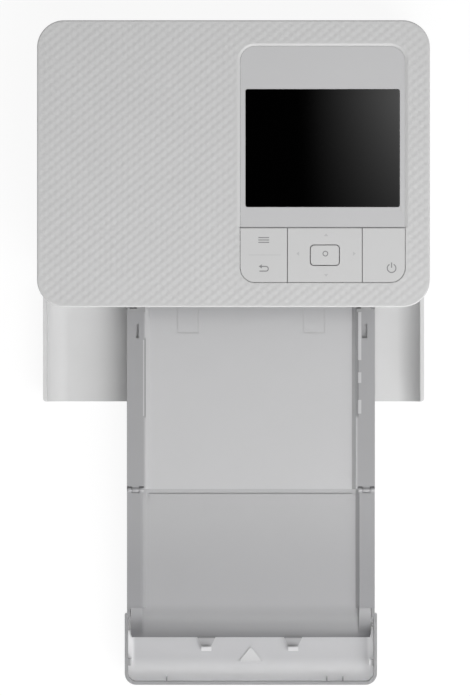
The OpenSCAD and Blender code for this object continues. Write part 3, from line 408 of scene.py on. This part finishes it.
def buildFinish(name, look, zones=()):
    # A mottled colour, with painted shade multiplied in over its zones, and a grain that moves both
    # roughness and bump
    material = bpy.data.materials.new(name)
    tree = newTree(material)
    coordinates = addNode(tree, "ShaderNodeTexCoord")
    place = addNode(tree, "ShaderNodeMapping", {"Vector": coordinates.outputs["Object"],
                                                "Scale": look.get("stretch", (1, 1, 1))}).outputs[0]
    cloud = addNode(tree, "ShaderNodeTexNoise", {"Vector": place, "Scale": 1 / (look["mottle"] * mm),
                                                 "Detail": 3})
    grain = addNode(tree, "ShaderNodeTexNoise", {"Vector": place, "Scale": 1 / (look["grain"] * mm),
                                                 "Detail": 2})
    # Sockets of a colour mix: 0 is its share, 6 and 7 are its colours
    base = addNode(tree, "ShaderNodeMix", {0: cloud.outputs["Fac"], 6: linear(look["colour"]),
                                           7: linear(look["shade"])}, data_type="RGBA").outputs[2]
    for times, zone in zones:
        base = addNode(tree, "ShaderNodeMix", {0: zoneShare(tree, place, zone), 6: base,
                                               7: linear(times)},
                       data_type="RGBA", blend_type="MULTIPLY").outputs[2]
    # The grain's noise keeps between about 0.3 and 0.7
    low, high = look["roughness"]
    rough = addNode(tree, "ShaderNodeMapRange", {"Value": grain.outputs["Fac"], "From Min": 0.3,
                                                 "From Max": 0.7, "To Min": low, "To Max": high})
    bump = addNode(tree, "ShaderNodeBump", {"Height": grain.outputs["Fac"], "Strength": 0.5,
                                            "Distance": look["relief"] * mm})
    surface = addNode(tree, "ShaderNodeBsdfPrincipled", {
        "Base Color": base, "Roughness": rough.outputs["Result"],
        "Normal": bump.outputs[0], "Metallic": look.get("metallic", 0.0)})
    for socket in ("IOR", "Transmission Weight"):
        if socket in look:
            surface.inputs[socket].default_value = look[socket]
    addNode(tree, "ShaderNodeOutputMaterial", {"Surface": surface.outputs[0]})
    return material


materials = {slot: buildFinish(name, look) for slot, (name, look) in finishes.items()}


def dressNodes():
    for record in frame["record"]["subparts"]:
        node = record["node"]
        slot = record["material_slot"]
        finish = materials[slot]
        if node in paintedShadeZones:
            name, look = finishes[slot]
            finish = buildFinish(name + " of the " + node.replace("_", " "),
                                 {**look, **paintedShadeZones[node]["look"]}, paintedShadeZones[node]["zones"])
        for holder in nodes[node].material_slots:
            holder.material = finish


dressNodes()
print("materials:", len(materials), "finishes on", len(nodes), "CAD nodes")


def newPiece(name, verts, faces, body, slot, flatAbove=40):
    # A mesh piece from points in mm, smooth except where it turns by more than flatAbove degrees
    mesh = bpy.data.meshes.new(name)
    mesh.from_pydata([tuple(c * mm for c in v) for v in verts], [], faces)
    mesh.validate()
    work = bmesh.new()
    work.from_mesh(mesh)
    bmesh.ops.remove_doubles(work, verts=work.verts, dist=weldDistance)
    bmesh.ops.recalc_face_normals(work, faces=work.faces)
    for face in work.faces:
        face.smooth = True
    for edge in work.edges:
        edge.smooth = edge.calc_face_angle(0) < math.radians(flatAbove)
    work.to_mesh(mesh)
    work.free()
    piece = bpy.data.objects.new(name, mesh)
    bpy.context.scene.collection.objects.link(piece)
    mesh.materials.append(materials[slot])
    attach(piece, body)
    return piece


topPattern = {
    "cellWide": 5.19,              # mm from one bump to the next one beside it, two columns on
    "cellDeep": 4.275,             # mm between bumps in a column
    "bumpAt": (1.10, -1.09),       # one bump's centre
    "relief": 0.21,                # mm from valley to crest
    "column": 0.4,                 # how far the columns of bumps run together into bands
    "row": 0.07,                   # and the rows
    "middle": 0.2,                 # taken off, to even out crest and valley
    "crest": 2.25,                 # about what it all comes to on a crest
    "cuts": 6,                     # mesh steps along each side of a bump
    "edgeFade": 0.9,               # mm over which the pattern dies out at an edge
}
topCover = {
    "corner": 12.7,                # mm, radius of the plate's corners
    "edge": 0.7,                   # rounding of its upper edge
    "edgeSteps": 7,
    "foot": 0.2,                   # chamfer at the foot of its wall
    "skirt": 3.0,                  # thickness of that wall
    "plate": 2.4,                  # thickness of the plate itself
    "gap": 0.2,                    # between its aperture and the control panel
    "panelCorner": 7.0,
    "dishWide": 1.3,               # slope down to the screen plate
    "dishUnder": 0.12,             # how far the slope goes on past the aperture's edge
    "dishSunk": 0.06,              # and how far it ends below the screen plate's top
    "dishSteps": 6,
    "keyWide": 0.25,               # rounding beside the keys
    "keyLine": -29.6,              # y where the slope gives way to the rounding
    "change": 1.0,                 # mm in which it does
    "step": 0.6,                   # mesh steps along the outlines
    "margin": 0.25,                # the pattern's points stay this far inside them
    "slack": 0.02,                 # a triangle's middle may lie this far outside, and half of it underneath
}


def smoothStep(t):
    t = min(1, max(0, t))
    return t * t * (3 - 2 * t)


def bumpHeight(x, y):
    # Rounded ridges that cross: about 1 on a bump's crest, -0.8 in the valley between four of them
    across = (x - topPattern["bumpAt"][0]) / topPattern["cellWide"]
    along = (y - topPattern["bumpAt"][1]) / topPattern["cellDeep"]
    rising = math.cos(2 * math.pi * (across - along))
    falling = math.cos(2 * math.pi * (across + along))
    column = topPattern["column"] * math.cos(4 * math.pi * across)
    row = topPattern["row"] * math.cos(4 * math.pi * along)
    return (rising + falling + column + row - topPattern["middle"]) / topPattern["crest"]


def roundedOutline(x0, x1, y0, y1, r, step):
    # Points round a rounded rectangle, anticlockwise, about step apart, with their outward normals
    corners = [(x1 - r, y0 + r, -90), (x1 - r, y1 - r, 0), (x0 + r, y1 - r, 90), (x0 + r, y0 + r, 180)]
    fewest = 8
    turns = max(fewest, round(math.pi / 2 * r / step))
    points = []
    for k, (cx, cy, start) in enumerate(corners):
        for i in range(turns + 1):
            a = math.radians(start + 90 * i / turns)
            points.append((cx + r * math.cos(a), cy + r * math.sin(a), math.cos(a), math.sin(a)))
        nx, ny, after = corners[(k + 1) % 4]
        end = math.radians(start + 90)
        begin = math.radians(after)
        here = Vector((cx + r * math.cos(end), cy + r * math.sin(end)))
        there = Vector((nx + r * math.cos(begin), ny + r * math.sin(begin)))
        count = max(1, round((there - here).length / step))
        for i in range(1, count):
            p = here.lerp(there, i / count)
            points.append((p.x, p.y, math.cos(end), math.sin(end)))
    return points


def shifted(point, by):
    # An outline's point moved outwards
    return (point[0] + point[2] * by, point[1] + point[3] * by)


def insideBy(x, y, x0, x1, y0, y1, r):
    # How far a point lies inside a rounded rectangle, negative outside
    dx = abs(x - (x0 + x1) / 2) - (x1 - x0) / 2 + r
    dy = abs(y - (y0 + y1) / 2) - (y1 - y0) / 2 + r
    return r - math.hypot(max(dx, 0), max(dy, 0)) - min(max(dx, dy), 0)


def besideScreen(y):
    # 1 beside the screen plate, 0 beside the keys
    return smoothStep((y - topCover["keyLine"]) / topCover["change"] + 0.5)


def slopeWide(y):
    # Width of the slope round the control panel
    return topCover["keyWide"] + (topCover["dishWide"] - topCover["keyWide"]) * besideScreen(y)


def depthInside(x, y, rim, hole):
    # How far a point lies inside the upper face, from its rim and from the slope round the panel
    return min(insideBy(x, y, *rim), -insideBy(x, y, *hole) - slopeWide(y))


def triangulated(points, edges):
    # Triangles that fill these edges, with the points they join
    fillInside = 1
    tolerance = 1e-6
    points, _, triangles, _, _, _ = delaunay_2d_cdt(points, edges, [], fillInside, tolerance, True)
    return points, triangles


def middleOf(points, triangle):
    return (sum(points[i].x for i in triangle) / 3, sum(points[i].y for i in triangle) / 3)


def patternedFace(outlines, edges, rim, hole, wholeWide, base):
    # The embossed upper face: bump lattice points inside the two outlines, joined by triangles
    flat = [Vector(p) for p in outlines]
    wide, deep, cuts = topPattern["cellWide"], topPattern["cellDeep"], topPattern["cuts"]
    bumpX, bumpY = topPattern["bumpAt"]
    reach = int(wholeWide / wide * cuts) + 2 * cuts
    for i in range(-reach, reach):
        for j in range(-2 * reach, 2 * reach):
            x = bumpX + (i + j) * wide / 2 / cuts
            y = bumpY + (i - j) * deep / 2 / cuts
            if depthInside(x, y, rim, hole) > topCover["margin"]:
                flat.append(Vector((x, y)))
    points, triangles = triangulated(flat, edges)
    verts = []
    for p in points:
        fade = smoothStep(depthInside(p.x, p.y, rim, hole) / topPattern["edgeFade"])
        verts.append((p.x, p.y, base + topPattern["relief"] / 2 * fade * bumpHeight(p.x, p.y)))
    faces = [tuple(t) for t in triangles
             if depthInside(*middleOf(points, t), rim, hole) > -topCover["slack"]]
    return verts, faces


def joinRings(verts, faces, rings):
    # Walls between one ring of points and the next
    starts = []
    for ring in rings:
        starts.append(len(verts))
        verts.extend(ring)
    count = len(rings[0])
    for a, b in zip(starts, starts[1:]):
        for i in range(count):
            k = (i + 1) % count
            faces.append((a + i, a + k, b + k, b + i))


def coverWall(outer, base, bottom, top):
    # Rings from the upper face over the rounded edge, down the wall and up again inside it
    edge = topCover["edge"]
    rings = [[(*shifted(p, -edge), base) for p in outer]]
    for k in range(1, topCover["edgeSteps"] + 1):
        a = math.pi / 2 * k / topCover["edgeSteps"]
        z = top - edge + (edge - topPattern["relief"] / 2) * math.cos(a)
        rings.append([(*shifted(p, -edge * (1 - math.sin(a))), z) for p in outer])
    wall = [(0, bottom + topCover["foot"]), (-topCover["foot"], bottom),
            (-topCover["skirt"], bottom), (-topCover["skirt"], top - topCover["plate"])]
    return rings + [[(*shifted(p, out), z) for p in outer] for out, z in wall]


def coverAperture(hole, widths, base, plateTop, under):
    # Rings from the upper face into the aperture: a sloped dish beside the screen plate, a tight
    # rounded edge beside the keys
    rings = [[(*shifted(p, w), base) for p, w in zip(hole, widths)]]
    for k in range(1, topCover["dishSteps"] + 1):
        t = k / topCover["dishSteps"]
        ring = []
        for p, w in zip(hole, widths):
            dish = besideScreen(p[1])
            reach = w * (1 - t) - topCover["dishUnder"] * dish * t
            sink = (base - plateTop + topCover["dishSunk"]) * dish * smoothStep(t)
            sink += topCover["keyWide"] * (1 - dish) * (1 - math.sqrt(max(0, 1 - t * t)))
            ring.append((*shifted(p, reach), base - sink))
        rings.append(ring)
    return rings + [[(*shifted(p, 0.0), under) for p in hole]]


def buildTopCover():
    low, high = (tuple(c / mm for c in corner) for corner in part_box("top_cover"))
    panelLow, panelHigh = (tuple(c / mm for c in corner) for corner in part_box("control_panel"))
    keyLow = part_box("menu_key")[0].y / mm
    base = high[2] - topPattern["relief"] / 2
    under = high[2] - topCover["plate"]
    edge, gap = topCover["edge"], topCover["gap"]
    rim = (low[0] + edge, high[0] - edge, low[1] + edge, high[1] - edge, topCover["corner"] - edge)
    hole = (panelLow[0] - gap, panelHigh[0] + gap, keyLow - gap, panelHigh[1] + gap,
            topCover["panelCorner"])
    outer = roundedOutline(low[0], high[0], low[1], high[1], topCover["corner"], topCover["step"])
    aperture = roundedOutline(*hole, topCover["step"])
    widths = [slopeWide(p[1]) for p in aperture]
    first = len(outer)
    edges = [(i, (i + 1) % first) for i in range(first)]
    edges += [(first + i, first + (i + 1) % len(aperture)) for i in range(len(aperture))]

    outlines = [shifted(p, -edge) for p in outer] + [shifted(p, w) for p, w in zip(aperture, widths)]
    verts, faces = patternedFace(outlines, edges, rim, hole, high[0] - low[0], base)
    joinRings(verts, faces, coverWall(outer, base, low[2], high[2]))
    joinRings(verts, faces, coverAperture(aperture, widths, base, panelHigh[2], under))

    # Underside
    inner = [Vector(shifted(p, -topCover["skirt"])) for p in outer] + [Vector(p[:2]) for p in aperture]
    points, triangles = triangulated(inner, edges)
    start = len(verts)
    verts.extend((p.x, p.y, under) for p in points)
    faces += [tuple(start + i for i in t) for t in triangles
              if insideBy(*middleOf(points, t), *hole) < topCover["slack"] / 2]
    cover = newPiece("embossedTopCover", verts, faces, "printer", "top_plastic", flatAbove=50)
    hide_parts("top_cover")
    print("top cover:", len(cover.data.polygons), "faces")


buildTopCover()


def addPrisms(name, outlines, low, high, body, slot, finish):
    # Flat pieces with these outlines, between two heights in mm
    verts = []
    faces = []
    for outline in outlines:
        start = len(verts)
        count = len(outline)
        verts += [(x, y, low) for x, y in outline] + [(x, y, high) for x, y in outline]
        faces.append(tuple(range(start + count - 1, start - 1, -1)))
        faces.append(tuple(range(start + count, start + 2 * count)))
        for i in range(count):
            k = (i + 1) % count
            faces.append((start + i, start + k, start + count + k, start + count + i))
    piece = newPiece(name, verts, faces, body, slot)
    piece.data.materials[0] = materials[finish]


def stroke(points, width):
    # Outline of a line of this width through the points
    left = []
    right = []
    for i, (x, y) in enumerate(points):
        ax, ay = points[max(i - 1, 0)]
        bx, by = points[min(i + 1, len(points) - 1)]
        reach = width / 2 / math.hypot(bx - ax, by - ay)
        left.append((x + (ay - by) * reach, y + (bx - ax) * reach))
        right.append((x - (ay - by) * reach, y - (bx - ax) * reach))
    return right + left[::-1]


def arc(cx, cy, r, start, end, steps=32):
    turns = [math.radians(start + (end - start) * i / steps) for i in range(steps + 1)]
    return [(cx + r * math.cos(a), cy + r * math.sin(a)) for a in turns]


def arrowHead(x, y, long, wide, heading):
    # A triangle round a point, its tip towards the heading in degrees
    c, s = math.cos(math.radians(heading)), math.sin(math.radians(heading))
    corners = ((long / 2, 0), (-long / 2, wide / 2), (-long / 2, -wide / 2))
    return [(x + u * c - v * s, y + u * s + v * c) for u, v in corners]


# Plain printed signs: three bars and a returning arrow, a ring with four triangles round it, and a
# circle with a bar. All in mm
keySigns = {
    "sunk": 0.03,                  # how deep the ink reaches into a key
    "proud": 0.03,                 # and how high it stands on it
    "line": 0.5,                   # width of a drawn line
    "bars": {"x": 14.03, "y": -35.43, "long": 5.0, "wide": 0.45, "pitch": 1.1},
    "divider": {"from": 6.96, "to": 21.8, "y": -42.38, "wide": 0.22},
    "back": {"tip": 11.7, "bend": 15.03, "tail": 12.02, "upper": -47.69, "lower": -49.87,
             "headLong": 1.4, "headWide": 1.9, "overlap": 0.1, "bendSteps": 16},
    "power": {"x": 73.3, "y": -48.5, "radius": 2.0, "gap": 56, "barFrom": 0.2, "barPast": 0.65},
    "ok": {"x": 42.6, "y": -41.75, "radius": 1.1, "wide": 0.45, "proud": 0.02},
    "pad": {"left": 29.8, "right": 56.06, "top": -33.0, "bottom": -51.8, "headLong": 1.3,
            "headWide": 2.0},
}


def buildMenuSigns(low, high):
    bars = keySigns["bars"]
    half = bars["long"] / 2
    signs = []
    for k in (-1, 0, 1):
        y = bars["y"] + k * bars["pitch"]
        signs.append(stroke([(bars["x"] - half, y), (bars["x"] + half, y)], bars["wide"]))
    back = keySigns["back"]
    radius = (back["upper"] - back["lower"]) / 2
    middle = (back["upper"] + back["lower"]) / 2
    neck = back["tip"] + back["headLong"] - back["overlap"]
    bend = arc(back["bend"], middle, radius, 90, -90, back["bendSteps"])
    signs.append(stroke([(neck, back["upper"])] + bend + [(back["tail"], back["lower"])],
                        keySigns["line"]))
    signs.append(arrowHead(back["tip"] + back["headLong"] / 2, back["upper"], back["headLong"],
                           back["headWide"], 180))
    addPrisms("menuKeySigns", signs, low, high, "menu_key", "key_plastic", "ink")
    line = keySigns["divider"]
    addPrisms("menuKeyDivider", [stroke([(line["from"], line["y"]), (line["to"], line["y"])],
                                        line["wide"])],
              low, high, "menu_key", "key_plastic", "faint_ink")


def buildPowerSign(low, high):
    power = keySigns["power"]
    x, y, r = power["x"], power["y"], power["radius"]
    ring = arc(x, y, r, 90 + power["gap"] / 2, 450 - power["gap"] / 2)
    bar = [(x, y + power["barFrom"]), (x, y + r + power["barPast"])]
    addPrisms("powerKeySign", [stroke(points, keySigns["line"]) for points in (ring, bar)],
              low, high, "power_key", "key_plastic", "ink")


def buildPadSigns(low, high):
    ok = keySigns["ok"]
    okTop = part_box("ok_key")[1].z / mm
    ring = stroke(arc(ok["x"], ok["y"], ok["radius"], 0, 360), ok["wide"])
    addPrisms("okKeySign", [ring], okTop - keySigns["sunk"], okTop + ok["proud"],
              "ok_key", "key_plastic", "ink")
    pad = keySigns["pad"]
    middle = (pad["left"] + pad["right"]) / 2
    places = [(pad["left"], ok["y"], 180), (pad["right"], ok["y"], 0), (middle, pad["top"], 90),
              (middle, pad["bottom"], -90)]
    heads = [arrowHead(x, y, pad["headLong"], pad["headWide"], turn) for x, y, turn in places]
    addPrisms("directionSigns", heads, low, high, "direction_pad", "key_plastic", "faint_ink")


doorEnds = {
    "ring": 11.9,                  # mm, outer radius of the door's curled-up ends
    "wall": 1.8,
    "underside": 1.2,              # height at which the folded door lies
    "rear": -66.05,                # the curled-up ends' rear edge
    "to": -61.0,                   # how far back they go on beside the body's round corners
    "corner": (78.4, -54.1),       # centre of such a corner
    "clear": 12.4,                 # radius kept free round it
    "least": 0.5,                  # how far outwards from that centre they start at least
    "steps": 10,
}


def buildDoorEnds():
    # The door's ends go on behind their rear edge, where the body's corner leaves them room
    cornerX, cornerY = doorEnds["corner"]
    curlZ = doorEnds["underside"] + doorEnds["ring"]
    steps = doorEnds["steps"]
    inner = steps + 1              # first point of a slice's inner face
    row = 2 * inner
    # One slice goes round its outer face, its end, its inner face and its start
    around = [(k, k + 1) for k in range(row - 1) if k != steps] + [(0, inner), (steps, row - 1)]
    verts = []
    faces = []
    for side in (-1, 1):
        start = len(verts)
        for i in range(steps + 1):
            y = doorEnds["rear"] + (doorEnds["to"] - doorEnds["rear"]) * i / steps
            inward = math.sqrt(max(0, doorEnds["clear"] ** 2 - (y - cornerY) ** 2))
            inward = max(inward, doorEnds["least"])
            begin = math.asin(min(1, inward / doorEnds["ring"]))
            for r in (doorEnds["ring"], doorEnds["ring"] - doorEnds["wall"]):
                for k in range(steps + 1):
                    a = begin + (math.pi / 2 - begin) * k / steps
                    verts.append((side * (cornerX + r * math.sin(a)), y, curlZ - r * math.cos(a)))
        for i in range(steps):
            a = start + i * row
            faces += [(a + k, a + m, a + m + row, a + k + row) for k, m in around]
        # Its first and last slice are closed
        for i in (0, steps):
            a = start + i * row
            faces += [(a + k, a + k + 1, a + k + 1 + inner, a + k + inner) for k in range(steps)]
    newPiece("doorEnds", verts, faces, "front_door", "case_plastic")


# Low trim on the cassette. All in mm
cassetteTrim = {
    "flangeTop": 18.6,             # height of the folding cover's side flanges
    # Ribs on the flanges, as x and y ranges
    "ribs": [((-42.75, -42.1), (-117.6, -81.7)), ((58.9, 60.4), (-91.2, -68.5)),
             ((58.9, 60.4), (-102.0, -97.0)), ((58.9, 60.4), (-116.5, -110.0))],
    "ribFrom": -0.1,               # heights of ribs and webs, from the flanges' top
    "ribTo": 0.1,
    # Webs behind the flanges, over the lid's hinge lugs, with the corner cut on the right. They close the
    # dark notches there, in the flanges' painted-shade grey
    "rearWebs": [[(-50.2, -68.7), (-41.9, -68.7), (-41.9, -65.9), (-45.8, -65.9), (-45.8, -66.9),
                  (-50.2, -66.9)],
                 [(58.3, -68.7), (66.6, -68.7), (66.6, -67.6), (64.6, -65.9), (60.2, -65.9),
                  (60.2, -66.9), (58.3, -66.9)]],
    "rearFrom": -0.8,
    "rearTo": -0.05,
    # Thin webs in the gaps beside the snap tongues of the cover's sunk middle
    "tongues": (-26.8, 33.0),      # x of each tongue's left edge
    "tongueWide": 10.2,
    "tongueLong": (-78.4, -66.4),
    "tongueGap": 0.35,
    "tongueFrom": -3.0,
    "tongueTo": -2.58,
    # Face of the feed arrow, paler and a little wider than the moulded one, so that from above it hides
    # that one's shaded sides: painted light
    "arrow": {"middle": 8.2, "wide": 11.2, "rear": -234.3, "tip": -227.5, "from": 8.6, "to": 8.96},
}


def rectangle(x0, x1, y0, y1):
    return [(x0, y0), (x1, y0), (x1, y1), (x0, y1)]


def buildCassetteTrim():
    top = cassetteTrim["flangeTop"]
    ribs = [rectangle(*across, *along) for across, along in cassetteTrim["ribs"]]
    addPrisms("coverRibs", ribs, top + cassetteTrim["ribFrom"], top + cassetteTrim["ribTo"],
              "folding_cover", "cover_plastic", "cover_plastic")
    addPrisms("coverRearWebs", cassetteTrim["rearWebs"], top + cassetteTrim["rearFrom"],
              top + cassetteTrim["rearTo"], "folding_cover", "cover_plastic", "flange_plastic")
    gap = cassetteTrim["tongueGap"]
    y0, y1 = cassetteTrim["tongueLong"]
    webs = []
    for x0 in cassetteTrim["tongues"]:
        x1 = x0 + cassetteTrim["tongueWide"]
        webs += [rectangle(x0, x1, y0, y0 + gap), rectangle(x0, x0 + gap, y0 + gap, y1),
                 rectangle(x1 - gap, x1, y0 + gap, y1)]
    addPrisms("tongueWebs", webs, top + cassetteTrim["tongueFrom"], top + cassetteTrim["tongueTo"],
              "folding_cover", "cover_plastic", "cover_plastic")
    arrow = cassetteTrim["arrow"]
    left, right = arrow["middle"] - arrow["wide"] / 2, arrow["middle"] + arrow["wide"] / 2
    face = [(left, arrow["rear"]), (right, arrow["rear"]), (arrow["middle"], arrow["tip"])]
    addPrisms("feedArrowFace", [face], arrow["from"], arrow["to"], "cassette", "cassette_plastic",
              "arrow_plastic")


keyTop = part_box("menu_key")[1].z / mm
inkLow, inkHigh = keyTop - keySigns["sunk"], keyTop + keySigns["proud"]
buildMenuSigns(inkLow, inkHigh)
buildPowerSign(inkLow, inkHigh)
buildPadSigns(inkLow, inkHigh)
buildDoorEnds()
buildCassetteTrim()
print("signs, door ends and cassette trim built")

softEdges = {
    "turn": 35,                    # degrees that an edge turns at least to be softened
    "flatWeight": 60,              # how strongly large faces hold the shading flat
    # Edge radius of each node in mm, as the moulding or the press leaves it
    "radii": {
        "control_panel": 0.3, "screen_glass": 0.12, "menu_key": 0.22, "power_key": 0.22,
        "direction_pad": 0.22, "ok_key": 0.25, "front_door": 0.35, "bottom_case": 0.3,
        "upper_case": 0.3, "front_frame": 0.25, "ink_door": 0.25, "cassette_tray": 0.25,
        "cassette_lid": 0.2, "folding_cover": 0.2, "rubber_feet": 0.3,
    },
}


def softenEdges():
    for name, radius in softEdges["radii"].items():
        part = nodes[name]
        weld = part.modifiers.new("weld", "WELD")
        weld.merge_threshold = weldDistance
        bevel = part.modifiers.new("soft edges", "BEVEL")
        bevel.width = radius * mm
        bevel.segments = 2
        bevel.limit_method = "ANGLE"
        bevel.angle_limit = math.radians(softEdges["turn"])
        bevel.use_clamp_overlap = True
        bevel.harden_normals = False
        normals = part.modifiers.new("normals", "WEIGHTED_NORMAL")
        normals.keep_sharp = False
        normals.weight = softEdges["flatWeight"]


softenEdges()
print("edges softened on", len(softEdges["radii"]), "nodes")
